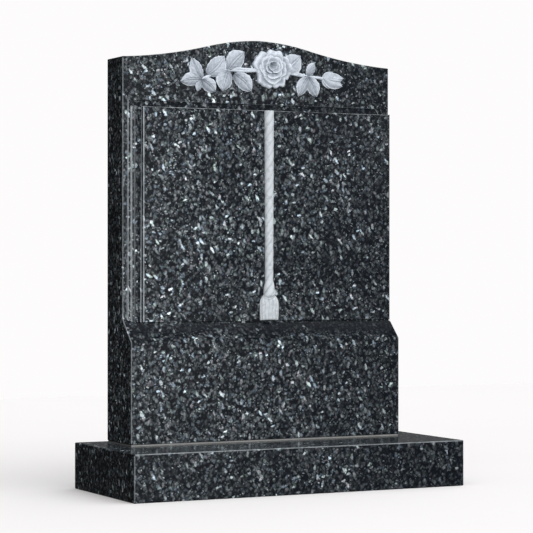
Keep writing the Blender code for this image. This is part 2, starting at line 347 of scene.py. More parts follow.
def crystalGlow(surface, look):
    # Brightness of the close-packed crystals, from nearly black grains to flakes that flash
    ragged = surface.warped(*look["fineEdge"], surface.warped(*look["coarseEdge"]))
    cloud = (surface.noise(13, 3, 0.6) - 0.5) * look["clouding"]
    glow = None
    hue = None
    for perMetre, size, turn, lowest, curve, bright, rim in crystalSets:
        cells = surface.cells(perMetre, surface.drawnOut(size, turn, ragged))
        chance, tint, streak = surface.split(cells.outputs["Color"])
        body = surface.ease(surface.number(cells.outputs["Distance"]), *rim)
        share = (chance + cloud - lowest).highest(0) * (1 / (1 - lowest))
        streak = 1 - look["streak"] + look["streak"] * streak
        shine = (share.lowest(1) ** curve) * bright * body * streak
        glow = shine if glow is None else glow.highest(shine)
        hue = hue or tint
    plate = surface.noise(520, 2, 0.6, surface.drawnOut((1, 1, 3), (30, 35, 0), ragged))
    parts = surface.node("ShaderNodeSeparateXYZ", None, {0: surface.place})
    across, up = (surface.number(parts.outputs[axis]) for axis in "XZ")
    start, end, deepest = look["paintedFalloff"]
    fleck = surface.noise(330, 3, 0.65, ragged)
    glow = glow * surface.ease(plate, 0.28, 0.64, *look["plates"])
    glow = glow * surface.ease(fleck, 0.32, 0.68, *look["flecks"])
    # painted shade: darker with height over the shoulder's slope
    if "fade" in look:                       # darker with height, from here to here
        glow = glow * surface.ease(up, *look["fade"])
    # painted shade: darker across the stone from left to right, as if the light fell off
    return glow * surface.ease(across, start, end, 1.0, deepest), hue


def graniteColor(surface, look):
    glow, hue = crystalGlow(surface, look)
    glow = glow * look["depth"]
    tint = surface.blend(hue.above(0.55), look["grey"], look["blue"])
    tint = surface.blend(hue.above(0.78), tint, look["green"])
    tint = surface.blend(hue.above(0.90), tint, look["violet"])
    lit = surface.node("ShaderNodeVectorMath", {"operation": "SCALE"}, {0: tint, "Scale": glow})
    color = surface.node("ShaderNodeVectorMath", {"operation": "ADD"}, {
        0: lit.outputs[0], 1: look["ground"]})
    return color.outputs[0], glow


def makePolishedGranite(name, **changes):
    look = {**graniteLook, **changes}
    surface = Surface(name)
    color, glow = graniteColor(surface, look)
    smudge = surface.noise(9, 4, 0.6)
    roughness = look["polish"] + 0.06 * smudge + 0.08 * glow
    waves = surface.noise(14, 2, 0.5)
    normal = surface.bump(waves, 0.10, 0.0006)
    return surface.finish(color=color, roughness=roughness, normal=normal,
                          specular=look["specular"])


def makeHonedAndHighlitGranite(name, tone, patches=60, least=0.40):
    # The arrises: the same stone rubbed down but not polished, so it reads lighter, and paler still
    # as a painted highlight where an arris catches the light
    surface = Surface(name)
    color, _ = graniteColor(surface, graniteLook)
    wearAndSheen = surface.noise(patches, 3, 0.6)
    pale = surface.ease(wearAndSheen, 0.30, 0.70, least, 0.80)
    color = surface.blend(pale, color, tone)
    normal = surface.bump(surface.noise(1200, 2, 0.6), 0.25, 0.0003)
    return surface.finish(color=color, roughness=0.45, normal=normal, specular=0.4)


carvedLook = {
    # tones of painted shade in the hollows and of painted highlight on the ridges, over the frosted
    # stone
    "spray": ((0.125, 0.144, 0.175), (0.450, 0.490, 0.545)),     # in the hollows, on the ridges
    "cord": ((0.220, 0.240, 0.260), (0.400, 0.430, 0.455)),
    "grain": (0.110, 0.128, 0.145),
    "grainShare": 0.30,
    "dust": (0.50, 0.53, 0.56),
    "dustShare": 0.25,
}


def makeCarvedGranite(name, tones):
    # Cut and left unpolished: crushed crystals give a frosted pale blue-grey; over it, painted
    # shade darkens the hollows and a painted highlight makes the ridges palest
    surface = Surface(name)
    ragged = surface.warped(320, 0.0022, surface.warped(75, 0.0070))
    grain = surface.cells(215, surface.drawnOut((1, 1, 1.35), (10, 25, 0), ragged))
    tone, _, _ = surface.split(grain.outputs["Color"])
    carved = surface.node("ShaderNodeAttribute", {"attribute_name": "paintedLight"})
    cloud = (surface.noise(60, 3, 0.6) - 0.5) * 0.5
    paintedLight = (surface.number(carved.outputs["Fac"]) + cloud).highest(0).lowest(1)
    color = surface.blend(paintedLight, *tones)
    grey = surface.ease(tone, 0.60, 1.0) * carvedLook["grainShare"]
    color = surface.blend(grey, color, carvedLook["grain"])
    dust = surface.ease(surface.noise(700, 3, 0.7), 0.52, 0.75) * carvedLook["dustShare"]
    color = surface.blend(dust, color, carvedLook["dust"])
    peck = surface.noise(1500, 3, 0.7) + surface.number(grain.outputs["Distance"]) * 0.3
    normal = surface.bump(peck, 0.35, 0.0004)
    return surface.finish(color=color, roughness=0.75, normal=normal, specular=0.3)


mortarLook = {
    "damp": (0.135, 0.137, 0.137),
    "dry": (0.225, 0.226, 0.222),
    "sand": (0.11, 0.108, 0.10),
    "sandShare": 0.35,
}


def makeMortar():
    surface = Surface("mortarJoint")
    sand = surface.cells(1400)
    tone, _, _ = surface.split(sand.outputs["Color"])
    dryness = surface.noise(20, 4, 0.6)
    color = surface.blend(dryness, mortarLook["damp"], mortarLook["dry"])
    color = surface.blend(tone * mortarLook["sandShare"], color, mortarLook["sand"])
    normal = surface.bump(surface.noise(900, 3, 0.7), 0.7, 0.0006)
    return surface.finish(color=color, roughness=0.9, normal=normal, specular=0.25)


polishedGranite = makePolishedGranite("polishedGranite")
darkerGranite = makePolishedGranite("polishedBaseGranite", depth=0.74)
# honed finishes for the arrises, each paler as a painted highlight where an arris catches the light
honedPageEdgeAndHighlight = makeHonedAndHighlitGranite("honedPageEdgeAndHighlight", (0.32, 0.355, 0.38))
honedArrisAndHighlight = makeHonedAndHighlitGranite("honedArrisAndHighlight", (0.13, 0.145, 0.155))
wornArrisAndHighlight = makeHonedAndHighlitGranite("wornArrisAndHighlight", (0.36, 0.395, 0.42), 12, 0.0)
# painted shade: a darker copy of the polish for the floors of the sunk band and channel
shadedRecessGranite = makePolishedGranite("shadedRecessGranite", depth=0.55, specular=0.05)
carvedSpray = makeCarvedGranite("carvedSpray", carvedLook["spray"])
carvedCord = makeCarvedGranite("carvedCord", carvedLook["cord"])
mortar = makeMortar()
print("materials ready")


# Headstone block

stone = {
    "spare": 0.005,              # cut off again at both sides
    "tabletThickness": 0.082,
    "shoulderHeight": 0.046,
    "footHeight": 0.2105,
    "endHeight": 0.8025,
    "hollow": 0.018,             # radius where the slope meets the tablet
    "crownRise": 0.046,
    "crownTurn": 0.120,
    "crownPeakDegrees": 1.2,
    "crownEndDegrees": 3.1,
    "columns": 56,
    "arris": 0.0020,
    "pageArris": 0.0023,
    "leafArris": 0.0012,
    "fineArris": 0.0007,
    "smoothDegrees": 50,
}

book = {
    "pageHeight": 0.443,
    "pageRelief": 0.007,
    "bandHeight": 0.013,
    "bandDepth": 0.003,
    "bandEnd": 0.035,
    "bandMitre": 0.010,
    "margin": 0.011,
    "coverWidth": 0.0075,
    "coverRelief": 0.003,
    "leafStep": 0.0065,
    "leafRelief": 0.002,
    "leafSteps": 2,
    "channel": 0.0125,
    "footGroove": 0.004,
    "footGrooveRise": 0.0006,
    "rootDepth": 0.02,           # how far the raised parts start inside the stone
    "rootDrop": 0.007,           # and below the book's foot
    "overcut": 0.004,
    "clear": 0.01,
    "reach": 0.003,              # edges this near its outline are the book's own
}

stoneLow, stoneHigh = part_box("headstone")
halfWidth = (stoneHigh[0] - stoneLow[0]) / 2
backY = stoneHigh[1]
footFrontY = stoneLow[1]
footZ = stoneLow[2]
tabletY = backY - stone["tabletThickness"]
slopeFoot = footZ + stone["footHeight"]
shoulderTop = footZ + stone["footHeight"] + stone["shoulderHeight"]
endZ = footZ + stone["endHeight"]
pageTop = shoulderTop + book["pageHeight"]
headerEdge = pageTop + book["bandHeight"]
pageY = tabletY - book["pageRelief"]
pageLeft = (-halfWidth + book["margin"] + book["coverWidth"]
            + book["leafSteps"] * book["leafStep"] + book["channel"])
shoulderSlope = (tabletY - footFrontY) / stone["shoulderHeight"]
pageFoot = shoulderTop - book["pageRelief"] / shoulderSlope
coverLeft = -halfWidth + book["margin"]
channelLeft = pageLeft - book["channel"]
grooveTop = pageFoot + book["footGrooveRise"]


def crown(x):
    # Ogee above the tablet's ends: swelling in the middle, turning hollow towards the ends
    away = min(abs(x), halfWidth)
    turn = stone["crownTurn"]
    run = halfWidth - turn
    peak = math.tan(math.radians(stone["crownPeakDegrees"]))
    end = math.tan(math.radians(stone["crownEndDegrees"]))
    steep = 2 * (stone["crownRise"] - peak * turn / 2 - end * run / 2) / halfWidth
    if away < turn:
        return stone["crownRise"] - peak * away - (steep - peak) * away ** 2 / (2 * turn)
    rest = halfWidth - away
    return end * rest + (steep - end) * rest ** 2 / (2 * run)


def makeBlock():
    side = halfWidth + stone["spare"]
    block = addBox("polished_headstone", (-side, footFrontY, footZ), (side, backY, slopeFoot))
    editMesh(block)
    # Pull the top up twice: over the slope of the shoulder, then to the ends of the crown
    for rise in (stone["shoulderHeight"], endZ - shoulderTop):
        pickFaces(block, lambda centre, normal: normal.z > 0.9)
        bpy.ops.mesh.extrude_region_move(TRANSFORM_OT_translate={"value": (0, 0, rise)})
        if rise == stone["shoulderHeight"]:
            shape = bmesh.from_edit_mesh(block.data)
            for vert in shape.verts:
                if vert.co.z > shoulderTop - touching and vert.co.y < tabletY:
                    vert.co.y = tabletY
            bmesh.update_edit_mesh(block.data)
    # Hollow where the slope meets the tablet
    pickEdges(block, lambda edge: all(
        abs(vert.co.y - tabletY) < touching and abs(vert.co.z - shoulderTop) < touching
        for vert in edge.verts))
    angle = math.atan(shoulderSlope)
    bpy.ops.mesh.bevel(offset=stone["hollow"] * math.tan(angle / 2), offset_type="OFFSET",
                       segments=6, affect="EDGES")
    # Columns across the top, lifted to the crown
    for column in range(1, stone["columns"]):
        x = halfWidth * (2 * column / stone["columns"] - 1)
        bpy.ops.mesh.select_all(action="SELECT")
        bpy.ops.mesh.bisect(plane_co=(x, 0, 0), plane_no=(1, 0, 0))
    shape = bmesh.from_edit_mesh(block.data)
    for vert in shape.verts:
        if vert.co.z > endZ - touching:
            vert.co.z = endZ + crown(vert.co.x)
    bmesh.update_edit_mesh(block.data)
    leaveEdit()
    return block


def addBook(block):
    inside = tabletY + book["rootDepth"]
    low = pageFoot - book["rootDrop"]
    page = addBox("page", (pageLeft, pageY, low),
                  (halfWidth + book["overcut"], inside, pageTop))
    combine(block, page, "UNION")
    cover = addBox("cover", (coverLeft, tabletY - book["coverRelief"], low),
                   (channelLeft, inside, headerEdge))
    combine(block, cover, "UNION")
    left = bandLeft = coverLeft + book["coverWidth"]
    for step in range(book["leafSteps"]):
        relief = book["coverRelief"] + (step + 1) * book["leafRelief"]
        edge = addBox("pageEdge", (left, tabletY - relief, low), (channelLeft, inside, pageTop))
        combine(block, edge, "UNION")
        left += book["leafStep"]
    # Sunk band under the header and sunk channel beside the page
    floor = tabletY + book["bandDepth"]
    front = pageY - book["clear"]
    band = addBox("band", (bandLeft, front, pageTop),
                  (halfWidth - book["bandEnd"], floor, headerEdge))
    editMesh(band)
    shape = bmesh.from_edit_mesh(band.data)
    for vert in shape.verts:
        if vert.co.x > 0 and vert.co.z < (pageTop + headerEdge) / 2:
            vert.co.x += book["bandMitre"]
    bmesh.update_edit_mesh(band.data)
    leaveEdit()
    combine(block, band, "DIFFERENCE")
    channel = addBox("channel", (channelLeft, front, pageFoot),
                     (pageLeft, floor, pageTop + book["overcut"]))
    combine(block, channel, "DIFFERENCE")
    groove = addBox("groove", (coverLeft, front, grooveTop - book["footGroove"]),
                    (halfWidth + book["clear"], pageY + book["footGroove"], grooveTop))
    combine(block, groove, "DIFFERENCE")


def trimSides(block):
    editMesh(block)
    for side in (-1, 1):
        bpy.ops.mesh.select_all(action="SELECT")
        bpy.ops.mesh.bisect(plane_co=(side * halfWidth, 0, 0), plane_no=(side, 0, 0),
                            clear_outer=True, use_fill=True)
    bpy.ops.mesh.select_all(action="SELECT")
    bpy.ops.mesh.remove_doubles(threshold=0.00002)
    bpy.ops.mesh.dissolve_limited(angle_limit=math.radians(0.05))
    leaveEdit()


def inBook(point):
    reach = book["reach"]
    return (abs(point.x) < halfWidth - reach and point.y < tabletY + 2 * reach
            and pageFoot - 2 * reach < point.z < headerEdge + reach)


def uprightAt(*lines):
    return lambda edge: isUpright(edge) and any(
        abs(middleOf(edge).x - x) < 0.8 * touching for x in lines)


def isHeaderEdge(edge):
    return not isUpright(edge) and middleOf(edge).z > pageTop - book["reach"]


def isFrontArris(edge):
    # Both upright arrises of the front, down the shoulder's slope to the foot
    middle = middleOf(edge)
    return (abs(middle.x) > halfWidth - book["reach"] and middle.y < tabletY + book["clear"]
            and rises(edge, 0.4))


def anySharp(edge):
    return isSharp(edge, stone["smoothDegrees"])


def roundEdges(block):
    # Page edges first, pale with honing and a painted highlight, then the rest of the book, then
    # the block's own arrises
    coverEdges = uprightAt(coverLeft, coverLeft + book["coverWidth"])
    editMesh(block)
    for size, finish, test in ((stone["pageArris"], "pageEdge", uprightAt(pageLeft)),
                               (stone["leafArris"], "pageEdge", coverEdges),
                               (stone["fineArris"], "wearAndSheen", isHeaderEdge),
                               (stone["fineArris"], "polished", anySharp)):
        pickEdges(block, lambda edge: (
            isSharp(edge, 30) and inBook(middleOf(edge)) and test(edge)))
        bpy.ops.mesh.bevel(offset=size, segments=2, affect="EDGES", material=finishSlots[finish])
    for finish, test in (("arris", isFrontArris), ("polished", anySharp)):
        pickEdges(block, lambda edge: (
            isSharp(edge, 30) and not inBook(middleOf(edge)) and test(edge)))
        bpy.ops.mesh.bevel(offset=stone["arris"], segments=3, affect="EDGES",
                           material=finishSlots[finish])
    leaveEdit()


def finishOf(face):
    # The finish that a flat part of the stone has by its place, or none for what it has already
    # the shoulder's slope gets the shaded copy of the polish, with painted shade
    if (0.2 < face.normal.z < 0.9 and abs(face.normal.x) < 0.2
            and slopeFoot < face.center.z < shoulderTop):
        return "shoulder"
    # the floors of the sunk band and channel get painted shade
    if face.normal.y < -0.9 and abs(face.center.y - tabletY - book["bandDepth"]) < 0.5 * touching:
        return "sunk"
    # the last leaf's side face gets the honed arris finish, paler as a painted highlight
    lastLeaf = channelLeft - book["leafStep"]
    if face.normal.x < -0.2 and abs(face.center.x - lastLeaf) < touching and inBook(face.center):
        return "arris"
    return None


# A shaded copy of the polished granite for the shoulder's slope: painted shade, darker with height
shadedShoulderGranite = makePolishedGranite("shadedShoulderGranite", specular=0.05, fade=(
    slopeFoot, slopeFoot + 0.5 * stone["shoulderHeight"], 1.0, 0.24))

stoneFinishes = {
    "polished": polishedGranite,
    "pageEdge": honedPageEdgeAndHighlight,
    "arris": honedArrisAndHighlight,
    "shoulder": shadedShoulderGranite,
    "wearAndSheen": wornArrisAndHighlight,
    "sunk": shadedRecessGranite,
}
finishSlots = {finish: slot for slot, finish in enumerate(stoneFinishes)}

headstone = makeBlock()
addBook(headstone)
trimSides(headstone)
headstone.data.materials.clear()
for material in stoneFinishes.values():
    headstone.data.materials.append(material)
roundEdges(headstone)
for face in headstone.data.polygons:
    finish = finishOf(face)
    if finish:
        face.material_index = finishSlots[finish]
smooth(headstone, stone["smoothDegrees"])
evenShading(headstone)
print("headstone block: faces", len(headstone.data.polygons))


# Base and mortar joint

baseLook = {"arris": 0.0020, "smoothDegrees": 50}

baseLow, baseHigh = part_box("base")
base = addBox("polished_base", baseLow, baseHigh)
base.data.materials.append(darkerGranite)
base.data.materials.append(honedArrisAndHighlight)
editMesh(base)
# the base's front arrises get the honed arris finish, paler as a painted highlight
pickEdges(base, lambda edge: middleOf(edge).y < baseLow[1] + touching
          and (isUpright(edge) or middleOf(edge).z > baseHigh[2] - touching))
bpy.ops.mesh.bevel(offset=baseLook["arris"], segments=3, affect="EDGES", material=1)
pickEdges(base, lambda edge: isSharp(edge, baseLook["smoothDegrees"]))
bpy.ops.mesh.bevel(offset=baseLook["arris"], segments=3, affect="EDGES", material=0)
leaveEdit()
smooth(base, baseLook["smoothDegrees"])
evenShading(base)

jointLook = {"hollow": 0.0006, "columns": 90}

bedLow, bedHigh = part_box("mortar_bed")
bedMiddle = (bedLow[2] + bedHigh[2]) / 2
bedWidth = bedHigh[0] - bedLow[0]
joint = addBox("mortar_joint", bedLow, bedHigh)
joint.data.materials.append(mortar)
editMesh(joint)
for column in range(1, jointLook["columns"]):
    bpy.ops.mesh.select_all(action="SELECT")
    x = bedLow[0] + bedWidth * column / jointLook["columns"]
    bpy.ops.mesh.bisect(plane_co=(x, 0, 0), plane_no=(1, 0, 0))
bpy.ops.mesh.select_all(action="SELECT")
bpy.ops.mesh.bisect(plane_co=(0, 0, bedMiddle), plane_no=(0, 0, 1))
leaveEdit()
for vert in joint.data.vertices:
    # The struck face of the joint is a little hollow and uneven
    if abs(vert.co.z - bedMiddle) < 0.5 * touching:
        wave = 0.5 + 0.5 * math.sin(vert.co.x * 61) * math.sin(vert.co.x * 23 + 1)
        pull = jointLook["hollow"] * (0.5 + wave)
        vert.co.y += pull if vert.co.y < 0.05 else -pull
print("base and joint: faces", len(base.data.polygons) + len(joint.data.polygons))


# Cord and tassel

cord = {
    "shift": -0.003,             # from the middle of the page
    "topRadius": 0.0113,
    "bottomRadius": 0.0097,
    "lay": 0.070,
    "strands": 3,
    "strandDepth": 0.11,
    "fibres": 4,
    "fibreDepth": 0.015,
    "stepsPerTurn": 72,
    "flatness": 0.80,
    "headLength": 0.040,
    "headRadius": 0.0148,
    "headEnd": 0.011,            # how long the round end of the head is
    "headLean": 0.22,            # its lower edge rises to the right
    "skirtLength": 0.045,
    "skirtRadius": 0.0231,
    "skirtFlatness": 0.42,
    "tieRadius": 0.0135,
    "tieRise": 0.0095,
    "threads": 7,
    "threadDepth": 0.075,
    "skirtRings": 44,
    "gap": 0.0015,
    "backDepth": 0.0015,         # how far it is sunk into the page
    "smoothDegrees": 50,
}

skirtFoot = grooveTop + cord["gap"]
skirtTop = skirtFoot + cord["skirtLength"]
cordFoot = skirtTop + cord["headLength"]
cordX = (pageLeft + halfWidth) / 2 + cord["shift"]


def cordRadius(z):
    # Tapers down the page, swells into the tassel's head and rounds off over the skirt
    if z > cordFoot:
        share = (pageTop - z) / (pageTop - cordFoot)
        return cord["topRadius"] + (cord["bottomRadius"] - cord["topRadius"]) * share
    share = min((cordFoot - z) / cord["headLength"], 1)
    swell = (cord["headRadius"] - cord["bottomRadius"]) * math.sin(share * math.pi / 2)
    radius = cord["bottomRadius"] + swell
    close = max(0.0, 1 - (z - skirtTop) / cord["headEnd"])
    return radius * math.sqrt(max(0.0, 1 - close ** 2))


def makeCord():
    # A ring of strands, each with its fibres, run down a screw thread
    length = pageTop - skirtTop
    sides = cord["strands"] * cord["fibres"] * 6
    deselectAll()
    bpy.ops.mesh.primitive_circle_add(vertices=sides, radius=1, fill_type="NGON")
    strands = bpy.context.object
    strands.name = "carved_cord"
    turns = length / cord["lay"]
    steps = round(turns * cord["stepsPerTurn"])
    applyModifier(strands, "SCREW", "twist", angle=2 * math.pi * turns, screw_offset=length,
                  steps=steps, render_steps=steps, axis="Z", use_merge_vertices=True,
                  merge_threshold=0.00001)
    paintedLights = []
    for vert in strands.data.vertices:
        turn = math.atan2(vert.co.y, vert.co.x) - 2 * math.pi * vert.co.z / cord["lay"]
        strand = abs(math.sin(turn * cord["strands"] / 2)) ** 0.40
        fibre = abs(math.sin(turn * cord["strands"] * cord["fibres"] / 2))
        z = skirtTop + vert.co.z
        deeper = 1.5 if z < cordFoot else 1
        groove = deeper * (cord["strandDepth"] * (1 - strand) + cord["fibreDepth"] * (1 - fibre))
        radius = cordRadius(z) * (1 - groove)
        x = vert.co.x * radius
        lean = cord["headLean"] * x * max(0.0, 1 - (z - skirtTop) / cord["headLength"])
        vert.co = (cordX + x, pageY + vert.co.y * radius * cord["flatness"], z + lean)
        # painted shade in the grooves between strands and fibres
        paintedLights.append(max(0, 1 - 4.5 * groove))
    setPaintedLight(strands, paintedLights)
    return strands


def makeSkirt():
    # Bell of threads with round shoulders: a cylinder cut into rings, shaped by its own outline
    deselectAll()
    bpy.ops.mesh.primitive_cylinder_add(vertices=cord["threads"] * 32, radius=1, depth=1,
                                        end_fill_type="NGON", location=(0, 0, 0))
    skirt = bpy.context.object
    skirt.name = "carved_tassel"
    editMesh(skirt)
    for ring in range(1, cord["skirtRings"]):
        down = (ring / cord["skirtRings"]) ** 1.3
        bpy.ops.mesh.select_all(action="SELECT")
        bpy.ops.mesh.bisect(plane_co=(0, 0, 0.5 - down), plane_no=(0, 0, 1))
    leaveEdit()
    length = cord["skirtLength"] + cord["tieRise"]
    paintedLights = []
    for vert in skirt.data.vertices:
        down = 0.5 - vert.co.z
        angle = math.atan2(vert.co.y, vert.co.x)
        shoulder = 1 - math.exp(-(down * length / (0.9 * cord["tieRise"])) ** 1.5)
        width = cord["tieRadius"] + (cord["skirtRadius"] - cord["tieRadius"]) * shoulder
        width *= 1 - 0.04 * down ** 4
        wander = 0.06 * math.sin(down * 5 + 2 * angle) + 0.04 * math.sin(down * 11)
        thread = abs(math.sin((angle + wander) * cord["threads"])) ** 0.45
        split = abs(math.sin((angle + wander) * cord["threads"] * 2 + 0.6)) ** 0.5
        groove = (cord["threadDepth"] * (1 - thread) + 0.02 * (1 - split)) * min(1, down * 5)
        z = skirtTop + cord["tieRise"] - down * length
        # A line is cut where the round end of the head lies on the threads, and painted dark there
        # as the head's shadow
        x = width * (1 - groove) * math.cos(angle)
        drop = (skirtTop + cord["headEnd"] + cord["headLean"] * x - z) / cord["headEnd"]
        reach = math.hypot(x / cord["headRadius"], max(0.0, drop))
        tie = bell(reach, 1.04, 0.10) if drop > -0.4 else 0
        depth = width * (1 - groove - 0.10 * tie) * cord["skirtFlatness"]
        foot = max(0.0, (down - 0.93) / 0.07)
        depth *= 1 - 0.25 * foot ** 2
        vert.co = (cordX + x, pageY + depth * math.sin(angle), z)
        # painted shade in the grooves between threads and under the head
        paintedLights.append(min(1, max(0, 0.96 - 8 * groove - 0.8 * tie)))
    setPaintedLight(skirt, paintedLights)
    return skirt


rope = joinPieces("carved_cord", [makeCord(), makeSkirt()])
rope.data.materials.clear()
rope.data.materials.append(carvedCord)
editMesh(rope)
bpy.ops.mesh.select_all(action="SELECT")
bpy.ops.mesh.bisect(plane_co=(0, pageY + cord["backDepth"], 0), plane_no=(0, 1, 0),
                    clear_outer=True, use_fill=False)
bpy.ops.mesh.select_all(action="SELECT")
bpy.ops.mesh.normals_make_consistent(inside=False)
leaveEdit()
smooth(rope, cord["smoothDegrees"])
print("cord and tassel: faces", len(rope.data.polygons))


# Rose spray

spray = {
    "length": 0.387,
    "offset": 0.0065,
    "rise": 0.0665,
    "leafCrown": 0.0082,
    "stem": 0.0034,
    "roseRadius": 0.046,
    "roseHeight": 0.0145,
    "budLength": 0.0510,
    "budHeight": 0.0098,
    "leafGrid": (44, 26),
    "petalGrid": (22, 26),
    "budGrid": (28, 20),
    "veins": 5,
    # leafRoll also paints the raised half of a leaf lighter, as if it faced the light
    "leafRoll": 0.26,            # how much one half of a leaf stands above the other
    "sink": 0.0012,              # how far every rim is pulled back into the stone
    "smoothDegrees": 40,
}

leftJoint = (-0.373, -0.047)
middleJoint = (-0.216, 0.010)
rosePlace = (0.063, 0.022)
rightJoint = (0.280, -0.008)
budPlace = (0.372, -0.014)

# Joint, direction in degrees, length, width, bend of the midrib and height
leafList = (
    (leftJoint, 117, 0.130, 0.080, 0.05, 1.00),
    (leftJoint, 187, 0.128, 0.074, -0.06, 0.90),
    (leftJoint, -39, 0.106, 0.076, 0.05, 1.05),
    (leftJoint, -111, 0.072, 0.042, -0.05, 0.70),
    ((-0.336, -0.020), 47, 0.146, 0.100, -0.07, 0.85),
    (middleJoint, 45, 0.146, 0.106, 0.06, 1.00),
    (middleJoint, -106, 0.122, 0.102, -0.05, 1.05),
    ((-0.175, -0.010), -42, 0.140, 0.088, 0.07, 0.95),
    ((0.125, 0.018), 40, 0.140, 0.112, -0.05, 0.90),
    (rightJoint, 62, 0.094, 0.056, 0.04, 0.95),
    (rightJoint, -118, 0.126, 0.074, -0.05, 1.00),
    (rightJoint, -64, 0.124, 0.076, 0.05, 1.05),
)

stemList = (
    (leftJoint, (-0.300, -0.014), middleJoint, (-0.130, 0.008), rosePlace),
    (rosePlace, (0.170, 0.018), rightJoint, (0.335, -0.010), budPlace),
    ((-0.225, 0.004), (-0.165, 0.020), (-0.105, 0.018), rosePlace),
    ((0.150, 0.010), (0.210, 0.000), rightJoint),
)

# Rings of the rose: petals, radius, rim height, first direction, cup, spread and sideways shift
roseRings = (
    (5, 1.00, 0.52, -62, 0.44, 1.16, (0.00, 0.00)),
    (4, 0.80, 0.70, -96, 0.56, 1.14, (-0.03, 0.05)),
    (3, 0.61, 0.86, 160, 0.66, 1.12, (-0.07, 0.12)),
    (3, 0.43, 1.00, -30, 0.72, 1.16, (-0.09, 0.16)),
    (2, 0.26, 1.10, 200, 0.80, 1.14, (-0.10, 0.18)),
)


def onTablet(place, degrees=0, shift=(0, 0)):
    x = spray["offset"] + place[0] * spray["length"] + shift[0]
    z = headerEdge + spray["rise"] + place[1] * spray["length"] + shift[1]
    front = Matrix(((1, 0, 0), (0, 0, -1), (0, 1, 0))).to_4x4()
    spot = Matrix.Translation((x, tabletY, z)) @ front
    return spot @ Matrix.Rotation(math.radians(degrees), 4, "Z")


def carvedSheet(name, grid, pointAt, matrix):
    # A grid bent to the carved surface, its rim pulled back into the stone, the sides so made
    # painted dark as shade
    deselectAll()
    bpy.ops.mesh.primitive_grid_add(x_subdivisions=grid[0], y_subdivisions=grid[1], size=1)
    sheet = bpy.context.object
    sheet.name = name
    paintedLights = []
    for vert in sheet.data.vertices:
        x, y, z, paintedLight = pointAt(vert.co.x + 0.5, vert.co.y * 2)
        vert.co = (x, y, z)
        paintedLights.append(paintedLight)
    setPaintedLight(sheet, paintedLights)
    editMesh(sheet)
    bpy.ops.mesh.select_all(action="SELECT")
    bpy.ops.mesh.extrude_region_move()
    shape = bmesh.from_edit_mesh(sheet.data)
    paintedLight = shape.verts.layers.float["paintedLight"]
    for vert in shape.verts:
        if vert.select:
            vert.co.z = -spray["sink"]
            vert[paintedLight] = 0
    bmesh.update_edit_mesh(sheet.data)
    bpy.ops.mesh.select_all(action="SELECT")
    bpy.ops.mesh.remove_doubles(threshold=0.00002)
    bpy.ops.mesh.normals_make_consistent(inside=False)
    leaveEdit()
    sheet.matrix_world = matrix
    return bakePlace(sheet)


def makeLeaf(joint, degrees, lengthShare, widthShare, bend, height):
    length = lengthShare * spray["length"]
    half = widthShare * spray["length"] / 2
    crownHeight = spray["leafCrown"] * height
    veins = spray["veins"]
    roll = math.copysign(spray["leafRoll"], bend)

    def pointAt(along, across):
        # Broad egg outline with a sharp tip, raised midrib and side veins, rim curled up
        edge = min(max(along, 0.006), 0.992)
        outline = math.sin(math.pi * edge ** 0.88) ** (0.50 + 0.46 * edge)
        away = abs(across)
        tooth = 1 + 0.03 * math.sin(math.pi * veins * 2 * along) * away ** 6
        x = length * (along + 0.05 * away ** 3 * math.sin(math.pi * along))
        y = half * outline * across * tooth + bend * length * math.sin(math.pi * along)
        arch = 0.92 - 0.62 * (away - 0.30) ** 2 / 0.49 + roll * across
        midrib = 0.22 * bell(away, 0, 0.055) - 0.12 * bell(away, 0.13, 0.06)
        sweep = (along - 0.30 * away) * veins * 2
        vein = max(0.0, math.cos(math.pi * sweep)) ** 8 * min(1, away * 4) * (1 - away ** 4)
        rim = max(0.0, away - 0.84) / 0.16
        ends = 0.48 + 0.52 * math.sin(math.pi * min(1, 0.10 + 0.80 * along)) ** 0.7
        z = crownHeight * (arch + midrib + 0.12 * vein + 0.18 * rim) * ends
        # Painted light: midrib, veins, rims and tip paler as painted highlight, one half lighter as
        # if lit, the base and the grooves beside the midrib darker as painted shade
        paintedLight = 0.34 + 0.26 * along + 0.40 * bell(away, 0, 0.06) - 0.26 * bell(away, 0.13, 0.07)
        paintedLight += 0.26 * vein + 0.60 * rim + 0.5 * roll * across - 0.30 * bell(along, 0, 0.20)
        return x, y, max(z, crownHeight * 0.2), min(max(paintedLight, 0), 1)

    return carvedSheet("leaf", spray["leafGrid"], pointAt, onTablet(joint, degrees))


def makeStem(route):
    deselectAll()
    bpy.ops.curve.primitive_bezier_curve_add()
    stem = bpy.context.object
    spline = stem.data.splines[0]
    spline.bezier_points.add(len(route) - len(spline.bezier_points))
    for point, place in zip(spline.bezier_points, route):
        point.co = (place[0] * spray["length"], place[1] * spray["length"], spray["stem"] * 0.6)
        point.handle_left_type = "AUTO"
        point.handle_right_type = "AUTO"
    stem.data.bevel_depth = spray["stem"]
    stem.data.bevel_resolution = 5
    stem.data.resolution_u = 14
    stem.data.use_fill_caps = True
    makeActive(stem)
    bpy.ops.object.convert(target="MESH")
    stem = bpy.context.object
    stem.matrix_world = onTablet((0, 0))
    bakePlace(stem)
    setPaintedLight(stem, [0.8] * len(stem.data.vertices))
    return stem


